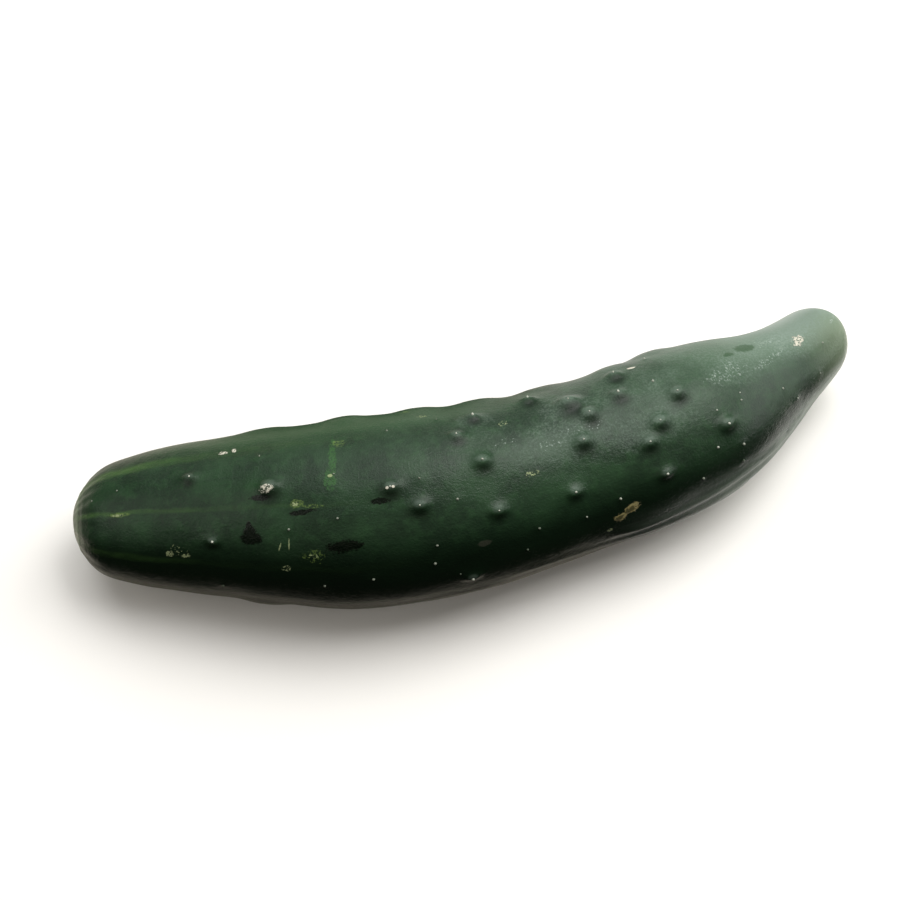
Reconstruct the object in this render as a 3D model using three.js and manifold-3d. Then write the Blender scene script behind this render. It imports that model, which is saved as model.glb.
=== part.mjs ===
// A slicing cucumber lying on its side: one fruit, one solid.
//
// Units are millimetres and +Z is up. The fruit lies along X, with its blossom end at -X and the
// tapering neck of its stem end at +X, and it bows towards -Y. The origin is on the surface that
// it rests on, under the middle of its outline.
//
// A place on the skin is given by two numbers: the distance along the fruit's curved middle line
// from the blossom end, and the angle round it, 0 degrees on top and 90 degrees at the front (-Y).

import * as THREE from "three";
import { mergeVertices } from "three/addons/utils/BufferGeometryUtils.js";
import Module from "manifold-3d";

// ---- driving dimensions -------------------------------------------------------------------

const LENGTH = 258; // along the middle line

// [distance along, radius] of the fruit, before its two ends are rounded off
const GIRTH = [
  [0, 14.5],
  [12, 17.6],
  [25, 20.9],
  [50, 24.7],
  [75, 27.4],
  [98, 28.5],
  [125, 27.6],
  [150, 26],
  [188, 25.2],
  [205, 22.9],
  [230, 15.6],
  [246, 12.5],
  [LENGTH, 11.5],
];

// [distance along, heading in degrees] of the middle line, seen from above
const BEND = [
  [0, -16],
  [70, -18],
  [108, -5],
  [140, 3.5],
  [165, 5],
  [200, 18],
  [230, 21.5],
  [LENGTH, 26],
];

const BLOSSOM_CAP = 13; // length over which each end rounds off
const STEM_CAP = 11;
const LOBE = 0.01; // how far the three seed chambers swell the round section, as a share
const LOBES = 3;

// Both ends rise off the surface that the fruit lies on.
const BLOSSOM_LIFT = { height: 4.5, from: 45 };
const STEM_LIFT = { height: 10, from: 190 };
const FLAT_DEPTH = 0.35; // how much of the underside its own weight presses flat

const BLOSSOM_SCAR = { radius: 2.6, depth: 0.6 };
const STEM_SCAR = { radius: 4, depth: 0.9 };

const WART = { radius: 2.3, height: 0.85 };

// The warts that stand out on the top and front: [along, round, size beside WART]
const WARTS = [
  [39, 0, 0.8],
  [47, 45, 0.8],
  [63, 11, 1.2],
  [96, 16, 1],
  [103, 28, 1],
  [123, 39, 1],
  [117, -10, 1],
  [122, 9, 1.1],
  [124, -24, 0.9],
  [143, -32, 1],
  [153, -17, 1.5],
  [157, -4, 1.2],
  [152, 12, 1.1],
  [145, 41, 1],
  [168, -12, 1.1],
  [171, -31, 1.1],
  [184, 3, 1.1],
  [175, 16, 1.1],
  [170, 26, 1],
  [172, 49, 0.9],
  [193, 36, 1.1],
  [114, 83, 1.3],
  [83, -46, 1.1],
  [108, -52, 1.1],
  [129, -53, 1],
  [173, -46, 1],
  [191, -55, 1],
];

// The warts on the back and low on the front stand in rows, one row on each rib.
const WART_ROWS = [
  { round: -82, from: 66 },
  { round: -106, from: 46 },
  { round: -128, from: 38 },
  { round: 142, from: 40 },
];
const ROW_PITCH = 32;
const ROW_END = 215;
const ROW_WANDER = 5; // degrees that a row's warts stray to either side

const RINGS_ALONG = 36; // between the two rounded ends
const RINGS_IN_CAP = 6;
const SIDES = 32;

// ---- the middle line ----------------------------------------------------------------------

const radians = THREE.MathUtils.degToRad;

// A smooth curve through a list of [distance, value], at one distance
function along(list, distance) {
  const slope = (a, b) => (list[b][1] - list[a][1]) / (list[b][0] - list[a][0]);
  const last = list.length - 1;
  let i = 0;
  while (i < last - 1 && distance > list[i + 1][0]) i += 1;
  const step = list[i + 1][0] - list[i][0];
  const t = (distance - list[i][0]) / step;
  const startSlope = slope(Math.max(i - 1, 0), i + 1);
  const endSlope = slope(i, Math.min(i + 2, last));
  return (
    list[i][1] * (1 + 2 * t) * (1 - t) ** 2 +
    list[i + 1][1] * t * t * (3 - 2 * t) +
    step * (startSlope * t * (1 - t) ** 2 + endSlope * t * t * (t - 1))
  );
}

function lift(distance) {
  const blossom = Math.max(0, 1 - distance / BLOSSOM_LIFT.from);
  const stem = Math.max(0, (distance - STEM_LIFT.from) / (LENGTH - STEM_LIFT.from));
  return BLOSSOM_LIFT.height * blossom ** 2 + STEM_LIFT.height * stem ** 2;
}

// The middle line seen from above: short steps in the direction of the heading
const STEP = 0.25;
const PLAN = [new THREE.Vector2(0, 0)];
for (let distance = 0; distance < LENGTH; distance += STEP) {
  const heading = radians(along(BEND, distance + STEP / 2));
  const stride = new THREE.Vector2(Math.cos(heading), Math.sin(heading)).multiplyScalar(STEP);
  PLAN.push(PLAN.at(-1).clone().add(stride));
}

// A flat section's radius in one direction: a circle with three soft lobes, narrowest underneath
function radiusAt(distance, round) {
  return along(GIRTH, distance) * (1 + LOBE * Math.cos(LOBES * radians(round)));
}

// How much of the full radius is left where an end rounds off
function capped(distance) {
  const part = (t) => Math.sqrt(1 - (1 - Math.min(t, 1)) ** 2);
  return part(distance / BLOSSOM_CAP) * part((LENGTH - distance) / STEM_CAP);
}

// Centre, forward and sideways directions of the section at one distance
function section(distance) {
  const at = Math.min(distance / STEP, PLAN.length - 1.001);
  const i = Math.floor(at);
  const plan = PLAN[i].clone().lerp(PLAN[i + 1], at - i);
  const underside = radiusAt(distance, 180);
  const heading = radians(along(BEND, distance));
  return {
    centre: new THREE.Vector3(plan.x, plan.y, underside + lift(distance) - FLAT_DEPTH),
    forward: new THREE.Vector3(Math.cos(heading), Math.sin(heading), 0),
    front: new THREE.Vector3(Math.sin(heading), -Math.cos(heading), 0),
  };
}

const UP = new THREE.Vector3(0, 0, 1);

function outwardAt(distance, round) {
  const { front } = section(distance);
  const upPart = UP.clone().multiplyScalar(Math.cos(radians(round)));
  return front.multiplyScalar(Math.sin(radians(round))).add(upPart);
}

function skinPoint(distance, round) {
  const reach = radiusAt(distance, round) * capped(distance);
  return section(distance).centre.addScaledVector(outwardAt(distance, round), reach);
}

// ---- the fruit ----------------------------------------------------------------------------

// Rings crowd together towards the two poles, where the ends round off.
function ringDistances() {
  const list = [];
  for (let i = 1; i <= RINGS_IN_CAP; i += 1) {
    list.push(BLOSSOM_CAP * (1 - Math.cos((i / RINGS_IN_CAP) * (Math.PI / 2))));
  }
  const straight = LENGTH - BLOSSOM_CAP - STEM_CAP;
  for (let i = 1; i < RINGS_ALONG; i += 1) {
    list.push(BLOSSOM_CAP + (straight * i) / RINGS_ALONG);
  }
  for (let i = RINGS_IN_CAP; i >= 1; i -= 1) {
    list.push(LENGTH - STEM_CAP * (1 - Math.cos((i / RINGS_IN_CAP) * (Math.PI / 2))));
  }
  return list;
}

function fruitGeometry() {
  const points = [section(0).centre];
  const rings = ringDistances();
  for (const distance of rings) {
    for (let side = 0; side < SIDES; side += 1) {
      points.push(skinPoint(distance, (360 * side) / SIDES));
    }
  }
  const stemPole = points.push(section(LENGTH).centre) - 1;

  const faces = [];
  const corner = (ring, side) => 1 + ring * SIDES + (side % SIDES);
  const lastRing = rings.length - 1;
  for (let side = 0; side < SIDES; side += 1) {
    faces.push(0, corner(0, side + 1), corner(0, side));
    faces.push(stemPole, corner(lastRing, side), corner(lastRing, side + 1));
    for (let ring = 0; ring < lastRing; ring += 1) {
      const [a, b] = [corner(ring, side), corner(ring, side + 1)];
      const [c, d] = [corner(ring + 1, side + 1), corner(ring + 1, side)];
      faces.push(a, c, d, a, b, c);
    }
  }
  return new THREE.BufferGeometry().setFromPoints(points).setIndex(faces);
}

// ---- warts and scars ----------------------------------------------------------------------

// A ball squashed along its own Z, then turned and moved so that its Z points along a direction
function squashedBall(radius, height, centre, direction) {
  const turn = new THREE.Quaternion().setFromUnitVectors(UP, direction);
  const size = new THREE.Vector3(radius, radius, height);
  return new THREE.IcosahedronGeometry(1, 1).applyMatrix4(
    new THREE.Matrix4().compose(centre, turn, size),
  );
}

function wartGeometry(distance, round, size) {
  return squashedBall(
    WART.radius * size,
    WART.height * size,
    skinPoint(distance, round),
    outwardAt(distance, round),
  );
}

function rowWarts() {
  const list = [];
  for (const [row, { round, from }] of WART_ROWS.entries()) {
    for (let distance = from; distance < ROW_END; distance += ROW_PITCH) {
      const stray = Math.sin(distance * 1.7 + row * 2.4);
      list.push([distance + 5 * stray, round + ROW_WANDER * stray, 1 + 0.15 * stray]);
    }
  }
  return list;
}

function scarGeometries() {
  const blossomEnd = section(0);
  const stemEnd = section(LENGTH);
  const { radius: blossomRadius, depth: blossomDepth } = BLOSSOM_SCAR;
  const { radius: stemRadius, depth: stemDepth } = STEM_SCAR;
  return [
    squashedBall(blossomRadius, blossomDepth, blossomEnd.centre, blossomEnd.forward),
    squashedBall(stemRadius, stemDepth, stemEnd.centre, stemEnd.forward),
  ];
}

// ---- joining and cutting ------------------------------------------------------------------

const wasm = await Module();
wasm.setup();

function toSolid(geometry) {
  geometry.deleteAttribute("normal");
  geometry.deleteAttribute("uv");
  const merged = mergeVertices(geometry, 1e-4);
  const mesh = new wasm.Mesh({
    numProp: 3,
    vertProperties: new Float32Array(merged.attributes.position.array),
    triVerts: new Uint32Array(merged.index.array),
  });
  return new wasm.Manifold(mesh);
}

function toGeometry(solid) {
  const { vertProperties, triVerts } = solid.getMesh();
  return new THREE.BufferGeometry()
    .setAttribute("position", new THREE.BufferAttribute(vertProperties, 3))
    .setIndex(new THREE.BufferAttribute(triVerts, 1));
}

let fruit = toSolid(fruitGeometry());
for (const [distance, round, size] of [...WARTS, ...rowWarts()]) {
  fruit = fruit.add(toSolid(wartGeometry(distance, round, size)));
}
for (const scar of scarGeometries()) {
  fruit = fruit.subtract(toSolid(scar));
}

// Everything below the resting surface is cut away, which leaves the flat underside.
const FLOOR_THICKNESS = 20;
const floor = new THREE.BoxGeometry(3 * LENGTH, 3 * LENGTH, FLOOR_THICKNESS);
floor.translate(0, 0, -FLOOR_THICKNESS / 2);
fruit = fruit.subtract(toSolid(floor));

const geometry = toGeometry(fruit);
geometry.computeBoundingBox();
const middle = geometry.boundingBox.getCenter(new THREE.Vector3());
geometry.translate(-middle.x, -middle.y, 0);
geometry.computeVertexNormals();

// ---- the scene graph ----------------------------------------------------------------------

const skin = new THREE.MeshStandardMaterial({ color: 0x2b4430, roughness: 0.4, metalness: 0 });
const cucumber = new THREE.Mesh(geometry, skin);
cucumber.name = "cucumber";

const object = new THREE.Group();
object.add(cucumber);

export default object;
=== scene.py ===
# %% [markdown]
# # A cucumber fresh from the garden
# The real thing is one fruit: a long, gently bowed body with a rounded blossom end, a neck that
# tapers to the stem end, low warts with a pale spine stub on each, and a waxy dark green skin.
# It could be sculpted by hand, but its skin detail follows its length, so it is easier to make
# the fruit straight, dress it while it is straight, and bend it last. That is the plan here.

# %% Load the frame
import math

import bpy
import numpy as np
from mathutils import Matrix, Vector, noise


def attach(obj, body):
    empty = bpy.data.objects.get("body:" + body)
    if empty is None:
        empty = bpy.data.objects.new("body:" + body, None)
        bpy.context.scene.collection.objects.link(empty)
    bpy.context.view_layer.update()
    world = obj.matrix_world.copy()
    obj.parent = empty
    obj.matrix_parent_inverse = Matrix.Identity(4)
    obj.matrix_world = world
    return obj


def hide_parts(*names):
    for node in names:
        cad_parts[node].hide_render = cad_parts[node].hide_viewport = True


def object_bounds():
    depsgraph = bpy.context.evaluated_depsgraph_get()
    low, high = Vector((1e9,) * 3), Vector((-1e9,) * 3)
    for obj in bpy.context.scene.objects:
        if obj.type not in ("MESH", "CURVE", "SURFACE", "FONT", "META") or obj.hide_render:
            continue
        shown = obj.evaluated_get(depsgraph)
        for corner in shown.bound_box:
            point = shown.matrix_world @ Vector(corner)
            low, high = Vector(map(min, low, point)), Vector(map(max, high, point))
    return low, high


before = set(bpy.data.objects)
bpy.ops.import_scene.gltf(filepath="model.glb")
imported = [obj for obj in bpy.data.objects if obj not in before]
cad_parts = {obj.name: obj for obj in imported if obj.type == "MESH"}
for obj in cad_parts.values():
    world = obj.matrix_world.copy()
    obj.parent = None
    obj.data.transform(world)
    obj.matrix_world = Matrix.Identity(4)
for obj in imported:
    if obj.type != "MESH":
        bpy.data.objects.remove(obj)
cad_low, cad_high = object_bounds()
print("the packed fruit's box in mm:", [round(1000 * size) for size in cad_high - cad_low])

# %% [markdown]
# ## The design's own numbers
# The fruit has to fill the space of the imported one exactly, so its shape is stated the same way:
# a girth and a heading at a few distances along its middle line, and how far each end lifts off
# the table. All lengths are in millimetres until the mesh is made.

# %% The fruit's shape
MM = 0.001
RADIANS = math.pi / 180
LENGTH = 258
# distance, radius
GIRTH = [
    (0, 14.5), (12, 17.6), (25, 20.9), (50, 24.7), (75, 27.4), (98, 28.5), (125, 27.6),
    (150, 26), (188, 25.2), (205, 22.9), (230, 15.6), (246, 12.5), (LENGTH, 11.5),
]
# distance, heading in degrees
BEND = [
    (0, -16), (70, -18), (108, -5), (140, 3.5), (165, 5), (200, 18), (230, 21.5), (LENGTH, 26),
]
# length of the rounding at each end
BLOSSOM_CAP = 13
STEM_CAP = 11
# the three seed chambers: how far they swell, as a share of the radius, and how many
LOBE = 0.01
LOBES = 3
# how high each end curves up off the table, and from where
BLOSSOM_LIFT, BLOSSOM_LIFT_FROM = 4.5, 45
STEM_LIFT, STEM_LIFT_FROM = 10, 190
# how much of the underside is pressed flat
FLAT_DEPTH = 0.35


def along(stations, distance):
    """The value of a smooth curve through [distance, value] stations."""
    where = np.array([station[0] for station in stations], float)
    value = np.array([station[1] for station in stations], float)
    slope = np.gradient(value, where)
    slope[1:-1] = (value[2:] - value[:-2]) / (where[2:] - where[:-2])
    distance = np.asarray(distance, float)
    i = np.clip(np.searchsorted(where, distance, side="right") - 1, 0, len(where) - 2)
    step = where[i + 1] - where[i]
    t = (distance - where[i]) / step
    start = value[i] * (1 + 2 * t) * (1 - t) ** 2 + step * slope[i] * t * (1 - t) ** 2
    end = value[i + 1] * t * t * (3 - 2 * t) + step * slope[i + 1] * t * t * (t - 1)
    return start + end


def capped(distance):
    """How much of the full girth is left where the two ends round off."""
    blossom = np.clip(distance / BLOSSOM_CAP, 0, 1)
    stem = np.clip((LENGTH - distance) / STEM_CAP, 0, 1)
    return np.sqrt(1 - (1 - blossom) ** 2) * np.sqrt(1 - (1 - stem) ** 2)


def lift(distance):
    """How high the underside is above the table."""
    blossom = np.clip(1 - distance / BLOSSOM_LIFT_FROM, 0, 1)
    stem = np.clip((distance - STEM_LIFT_FROM) / (LENGTH - STEM_LIFT_FROM), 0, 1)
    return BLOSSOM_LIFT * blossom**2 + STEM_LIFT * stem**2


print("thickest radius, mm:", round(float(along(GIRTH, np.arange(LENGTH)).max()), 1))

# %% [markdown]
# ## Warts
# A place on the skin is a distance along the fruit and an angle round it, 0 degrees on top and
# 90 at the front. The warts crowd on the shoulder before the neck and thin out towards the
# blossom end. Those on top and in front are placed one by one, and the back and the underside
# have theirs in rows, as a fruit grows them, one row to each rib.

# %% Wart places
# (along, round, size)
WARTS = [
    (39, 0, 0.8), (47, 45, 0.8), (63, 11, 1.2), (96, 16, 1), (103, 28, 1), (123, 39, 1),
    (117, -10, 1), (122, 9, 1.1), (124, -24, 0.9), (143, -32, 1), (153, -17, 1.5),
    (157, -4, 1.2), (152, 12, 1.1), (145, 41, 1), (168, -12, 1.1), (171, -31, 1.1),
    (184, 3, 1.1), (175, 16, 1.1), (170, 26, 1), (172, 49, 0.9), (193, 36, 1.1),
    (114, 82, 0.85),
]
# round, where the row starts, size
WART_ROWS = [(-82, 66, 0.7), (-106, 46, 1), (-128, 38, 1), (142, 40, 0.8)]
ROW_PITCH = 32
ROW_END = 215
# how far a wart strays from its row: along in mm, round in degrees, and in size
STRAY_ALONG = 5
STRAY_ROUND = 5
STRAY_SIZE = 0.15


def row_warts():
    """The warts of the back and the underside: (along, round, size)."""
    found = []
    for row, (round_, start, size) in enumerate(WART_ROWS):
        for distance in range(start, ROW_END, ROW_PITCH):
            # a wave that is out of step with the rows looks random and never changes
            stray = math.sin(distance * 1.7 + row * 2.4)
            angle = round_ + STRAY_ROUND * stray
            found.append((distance + STRAY_ALONG * stray, angle, size * (1 + STRAY_SIZE * stray)))
    return found


ALL_WARTS = WARTS + row_warts()
# (along, round): a spine stub with hardly a wart under it
PIMPLES = [
    (180, -12), (185, -40), (192, 25), (202, 22), (201, 27), (188, 48), (196, 56), (219, 38),
    (224, 58), (237, 56), (243, 25), (182, 65), (158, 56), (195, 69), (147, 61), (113, -29),
    (97, -23), (106, 53), (105, 65), (133, 58), (129, 71), (111, 77), (81, 5), (104, 13),
    (113, 28), (90, 71), (82, 31), (59, -12), (9, 8), (17, 3), (49, 84), (69, 37), (78, 76),
]
print(len(ALL_WARTS), "warts and", len(PIMPLES), "pimples")

# %% [markdown]
# ## The straight fruit
# A fruit is round in section, so its outline spun about its middle line is its body. The outline
# is drawn by extruding one vertex step by step, with small steps where the ends round off.
# Two levels of subdivision then make the mesh fine enough to carry the warts.

# %% Outline and spin
STEPS_ALONG = 72
STEPS_IN_CAP = 8
STEPS_ROUND = 60


def outline_distances():
    """Distances along the fruit, crowded towards the two poles."""
    share = 1 - np.cos(np.linspace(0, math.pi / 2, STEPS_IN_CAP + 1))
    middle = np.linspace(BLOSSOM_CAP, LENGTH - STEM_CAP, STEPS_ALONG + 1)
    return np.concatenate([BLOSSOM_CAP * share, middle[1:-1], LENGTH - STEM_CAP * share[::-1]])


def only(piece):
    """Selects one piece and nothing else."""
    bpy.ops.object.select_all(action="DESELECT")
    piece.select_set(True)
    bpy.context.view_layer.objects.active = piece


bpy.ops.object.select_all(action="DESELECT")
bpy.ops.mesh.primitive_plane_add(size=MM)
fruit = bpy.context.object
fruit.name = "cucumber_skin"
bpy.ops.object.mode_set(mode="EDIT")
bpy.ops.mesh.merge(type="CENTER")
at = Vector((0, 0, 0))
for distance in outline_distances()[1:]:
    height = along(GIRTH, distance) * capped(distance)
    next_at = Vector((distance, 0, float(height))) * MM
    bpy.ops.mesh.extrude_region_move(TRANSFORM_OT_translate={"value": next_at - at})
    at = next_at
bpy.ops.mesh.select_all(action="SELECT")
bpy.ops.mesh.spin(steps=STEPS_ROUND, angle=math.tau, center=(0, 0, 0), axis=(1, 0, 0))
bpy.ops.mesh.select_all(action="SELECT")
bpy.ops.mesh.remove_doubles(threshold=0.01 * MM)
bpy.ops.mesh.normals_make_consistent(inside=False)
bpy.ops.object.mode_set(mode="OBJECT")
print("straight fruit:", len(fruit.data.polygons), "faces before it is subdivided")

# %% Subdivide
finer = fruit.modifiers.new("finer", "SUBSURF")
finer.levels = 2
finer.render_levels = 2
bpy.ops.object.modifier_apply(modifier=finer.name)
print("and", len(fruit.data.polygons), "after")

# %% [markdown]
# ## Relief
# The skin is not smooth: three seed chambers swell it, a shallow groove runs under each pale
# stripe, warts stand up, long creases run along the sides, most of them beside the neck, and
# the blossom end is puckered. It could be sculpted with brushes, but as one height at each place
# on the skin it is exact and can be used twice: to raise the skin and to seat the stubs on it.

# %% Heights on the skin
# angle round, half width in mm, strength
STRIPES = [
    (-98, 1.4, 0.7), (-60, 1.6, 0.4), (-20, 2.6, 1), (23, 1.1, 1), (63, 1.8, 0.35),
    (102, 1.2, 0.6), (140, 2, 0.8), (180, 1.4, 0.7), (222, 2.2, 0.9),
]
# broad swellings that hold no spine: along, round
SWELLS = [
    (57, -64), (83, -50), (108, -56), (129, -57), (150, -60), (173, -48), (191, -57), (60, 118),
    (102, 150), (140, 196), (88, 215), (170, 128),
]
# long soft creases: from along, round; to along, round; height in mm
CREASES = [
    (120, 95, 190, 101, 0.35), (150, 88, 234, 84, 0.6), (162, 101, 240, 97, 0.75),
    (176, 113, 236, 112, 0.7), (60, 112, 132, 104, 0.3), (150, -104, 232, -96, 0.4),
    (128, 160, 226, 170, 0.4), (70, 205, 150, 198, 0.3),
]
STRIPE_START, STRIPE_FULL = 2, 20
STRIPE_FADE, STRIPE_END = 60, 165
# size and height of the random unevenness
LUMPS = [(34, 0.45), (13, 0.3)]
# how far from the blossom end and from the stem end it takes to reach its full height
LUMPS_FULL, LUMPS_FULL_STEM = 22, 25
# fine ridges round the blossom end: along, height
RINGS = [(1.3, 0.07), (3.2, 0.1), (5.6, 0.05)]
# heights and widths, in mm
GROOVE_DEPTH = 0.16
GROOVE_MARGIN = 1.5
SWELL_HEIGHT, SWELL_WIDTH = 0.75, 5.2
CREASE_WIDTH, CREASE_WANDER, CREASE_FADE = 1.7, 2.5, 14
FURROW_WIDTH = 1.6
WART_FOOT, WART_FOOT_WIDTH = 0.5, 4
WART_TOP, WART_TOP_WIDTH = 1.05, 2
WART_MASK_REACH = 3.5
PIMPLE_HEIGHT, PIMPLE_WIDTH = 0.22, 1.3
PLEATS, PLEAT_HEIGHT = 21, 0.1
BLOSSOM_DIMPLE, BLOSSOM_DIMPLE_WIDTH = 0.8, 2.4
STEM_DIMPLE, STEM_DIMPLE_FLOOR, STEM_DIMPLE_RIM = 1.1, 3.2, 4.4
# a furrow beside each crease: its depth as a share of the crease, and how many degrees further
FURROW_SHARE, FURROW_ASIDE = 0.6, 7
# how a swelling and a wart are stretched along the fruit, and a wart squeezed round it
SWELL_LONG = 1.3
WART_LONG, WART_SQUEEZE = 1.25, 0.85


def bell(distance, width):
    """1 at no distance, about a third at the width and hardly anything at twice the width."""
    return np.exp(-((distance / width) ** 2))


def dome(distance, width):
    """As bell, with a rounder top and steeper sides."""
    return np.exp(-np.abs(distance / width) ** 3)


def arc(round_, centre, radius):
    """The distance round the fruit from an angle, in mm."""
    return ((round_ - centre + 180) % 360 - 180) * RADIANS * radius


def ease(low, high, value):
    """0 below low, 1 above high, and smooth between them."""
    t = np.clip((value - low) / (high - low), 0, 1)
    return t * t * (3 - 2 * t)


def lumps(distance, round_, radius, size):
    """Smooth random swellings of about a size, between -1 and 1."""
    angle = round_ * RADIANS
    points = np.stack([distance, radius * np.sin(angle), radius * np.cos(angle)], -1) / size
    return np.array([noise.noise(Vector(point)) for point in points.reshape(-1, 3)])


def wart_distance(distance, round_, radius, place, angle):
    """How far a spot is from a wart's middle, in mm. Warts are longer along the fruit."""
    sideways = arc(round_, angle, radius) / WART_SQUEEZE
    return np.hypot((distance - place) / WART_LONG, sideways)


def relief(distance, round_, reach):
    """Height of the skin over the plain spun body, in mm. reach is the distance from the axis."""
    distance, round_, reach = (np.asarray(x, float) for x in (distance, round_, reach))
    radius = along(GIRTH, distance)
    body = ease(0, LUMPS_FULL, distance) * ease(0, LUMPS_FULL_STEM, LENGTH - distance)
    height = LOBE * reach * np.cos(LOBES * round_ * RADIANS)
    for size, rise in LUMPS:
        height += body * rise * lumps(distance, round_, radius, size)
    faded = ease(STRIPE_END, STRIPE_FADE, distance) * ease(STRIPE_START, STRIPE_FULL, distance)
    for angle, width, strength in STRIPES:
        groove = bell(arc(round_, angle, radius), GROOVE_MARGIN + width)
        height -= GROOVE_DEPTH * strength * faded * groove
    for place, angle in SWELLS:
        off = np.hypot((distance - place) / SWELL_LONG, arc(round_, angle, radius))
        height += SWELL_HEIGHT * dome(off, SWELL_WIDTH)
    for start, start_round, end, end_round, rise in CREASES:
        centre = np.interp(distance, [start, end], [start_round, end_round])
        centre = centre + CREASE_WANDER * np.sin(distance / 8 + start)
        part = ease(start, start + CREASE_FADE, distance)
        part = part * ease(end, end - CREASE_FADE, distance)
        height += rise * part * bell(arc(round_, centre, radius), CREASE_WIDTH)
        furrow = bell(arc(round_, centre + FURROW_ASIDE, radius), FURROW_WIDTH)
        height -= FURROW_SHARE * rise * part * furrow
    for place, angle, size in ALL_WARTS:
        off = wart_distance(distance, round_, radius, place, angle)
        foot = WART_FOOT * bell(off, WART_FOOT_WIDTH * size)
        height += size * (foot + WART_TOP * dome(off, WART_TOP_WIDTH * size))
    for place, angle in PIMPLES:
        off = np.hypot(distance - place, arc(round_, angle, radius))
        height += PIMPLE_HEIGHT * bell(off, PIMPLE_WIDTH)
    # the pleats that pucker the blossom end, unevenly spaced
    pleats = np.cos(PLEATS * round_ * RADIANS + 2.5 * np.sin(3 * round_ * RADIANS))
    height += PLEAT_HEIGHT * pleats * ease(1, 4, distance) * ease(15, 6, distance)
    for ring, rise in RINGS:
        height += rise * (bell(distance - ring, 0.5) - 0.5 * bell(distance - ring - 1, 0.7))
    dimple = bell(reach, BLOSSOM_DIMPLE_WIDTH)
    height -= BLOSSOM_DIMPLE * dimple * (distance < BLOSSOM_CAP)
    dimple = ease(STEM_DIMPLE_RIM, STEM_DIMPLE_FLOOR, reach)
    height -= STEM_DIMPLE * dimple * (distance > LENGTH - STEM_CAP)
    return height


def wart_nearness(distance, round_, shadeward):
    """1 so many mm from a wart's middle on its shaded side, falling to 0 further off."""
    radius = along(GIRTH, distance)
    nearness = np.zeros_like(radius)
    for place, angle, size in ALL_WARTS:
        # the shaded side is the one nearer the front, and on the back it is the lower one
        aside = shadeward * size / along(GIRTH, place) / RADIANS
        centre = angle + (aside if angle > -60 else -aside)
        off = wart_distance(distance, round_, radius, place, centre)
        nearness = np.maximum(nearness, ease(WART_MASK_REACH * size, 0, off))
    return nearness


# %% [markdown]
# ## Raising the skin
# A Displace modifier moves each vertex by the weight it has in a vertex group, and a weight is
# never negative. So it works twice here: once outwards for what stands up, once inwards for what
# is sunk. Where the warts are is also kept in two attributes, for the painted highlight on each
# wart's lit top and the painted shade at its foot.

# %% Raise the skin
mesh = fruit.data
count = len(mesh.vertices)
spots = np.empty(count * 3, np.float32)
mesh.vertices.foreach_get("co", spots)
spots = spots.reshape(-1, 3).astype(float) / MM
skin_reach = np.hypot(spots[:, 1], spots[:, 2])
skin_round = np.degrees(np.arctan2(-spots[:, 1], spots[:, 2]))
skin_height = relief(spots[:, 0], skin_round, skin_reach)
print("relief from", round(skin_height.min(), 2), "to", round(skin_height.max(), 2), "mm")
# two masks for painted light: the lit top of each wart, for a painted highlight, and its shaded
# foot, for painted shade
for name, shadeward in (("wart", -0.5), ("wart_shade", 2.3)):
    values = wart_nearness(spots[:, 0], skin_round, shadeward).astype(np.float32)
    mesh.attributes.new(name, "FLOAT", "POINT").data.foreach_set("value", values)


def displace(piece, weights, most, direction):
    """Moves a piece's vertices by 0 to most millimetres, each by its own weight."""
    group = piece.vertex_groups.new(name="moved")
    for index, weight in enumerate(weights):
        group.add([index], float(weight), "REPLACE")
    mover = piece.modifiers.new("mover", "DISPLACE")
    mover.vertex_group = group.name
    mover.direction = direction
    mover.mid_level = 0
    mover.strength = most * MM
    only(piece)
    bpy.ops.object.modifier_apply(modifier=mover.name)
    piece.vertex_groups.clear()


highest = float(skin_height.max())
deepest = float(-skin_height.min())
displace(fruit, np.clip(skin_height, 0, None) / highest, highest, "NORMAL")
displace(fruit, np.clip(-skin_height, 0, None) / deepest, -deepest, "NORMAL")

# %% [markdown]
# ## Straight coordinates and the bake map
# The patterns on the skin, such as stripes and marks, belong to the straight fruit. Each vertex
# keeps its straight place in an attribute, so the materials can draw on the straight fruit after
# it is bent. A UV map unrolls the skin like a label: along the fruit one way, round it the other.

# %% Keep the straight places
def keep_straight(piece):
    """Stores each vertex's place on the straight fruit, in metres."""
    straight = piece.data.attributes.new("straight", "FLOAT_VECTOR", "POINT")
    places = np.empty(len(piece.data.vertices) * 3, np.float32)
    piece.data.vertices.foreach_get("co", places)
    straight.data.foreach_set("vector", places)


keep_straight(fruit)

# %% Unroll the skin
corner_vertex = np.empty(len(mesh.loops), np.int32)
mesh.loops.foreach_get("vertex_index", corner_vertex)
face_sizes = [len(face.vertices) for face in mesh.polygons]
corner_face = np.repeat(np.arange(len(mesh.polygons)), face_sizes)
# one turn of the fruit is 0 to 1, and a face that crosses the seam has its low corners moved to 1
turn = (skin_round[corner_vertex] - 180) % 360 / 360
turn_most = np.zeros(len(mesh.polygons))
np.maximum.at(turn_most, corner_face, turn)
turn[(turn < 0.25) & (turn_most[corner_face] > 0.75)] += 1
turn = np.clip(turn, 0, 1)
unrolled = mesh.uv_layers.new(name="OFBake")
unrolled.data.foreach_set(
    "uv", np.stack([spots[corner_vertex, 0] / LENGTH, turn], -1).astype(np.float32).ravel()
)
print("unrolled corners:", len(turn))

# %% [markdown]
# ## Bending
# A Curve modifier bends the straight fruit along its middle line. The line lies flat in the
# table's plane, so each section stays upright, and the height is given first, as a lift that
# follows the girth: the underside is what lies level, not the middle.

# %% The middle line
LINE_STEP = 6
FINE_STEP = 0.25
line = bpy.data.curves.new("middle_line", "CURVE")
line.dimensions = "3D"
line.twist_mode = "Z_UP"
line.resolution_u = 12
path = line.splines.new("NURBS")
stations = np.arange(0, LENGTH + LINE_STEP, LINE_STEP, dtype=float)
path.points.add(len(stations) - 1)
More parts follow.
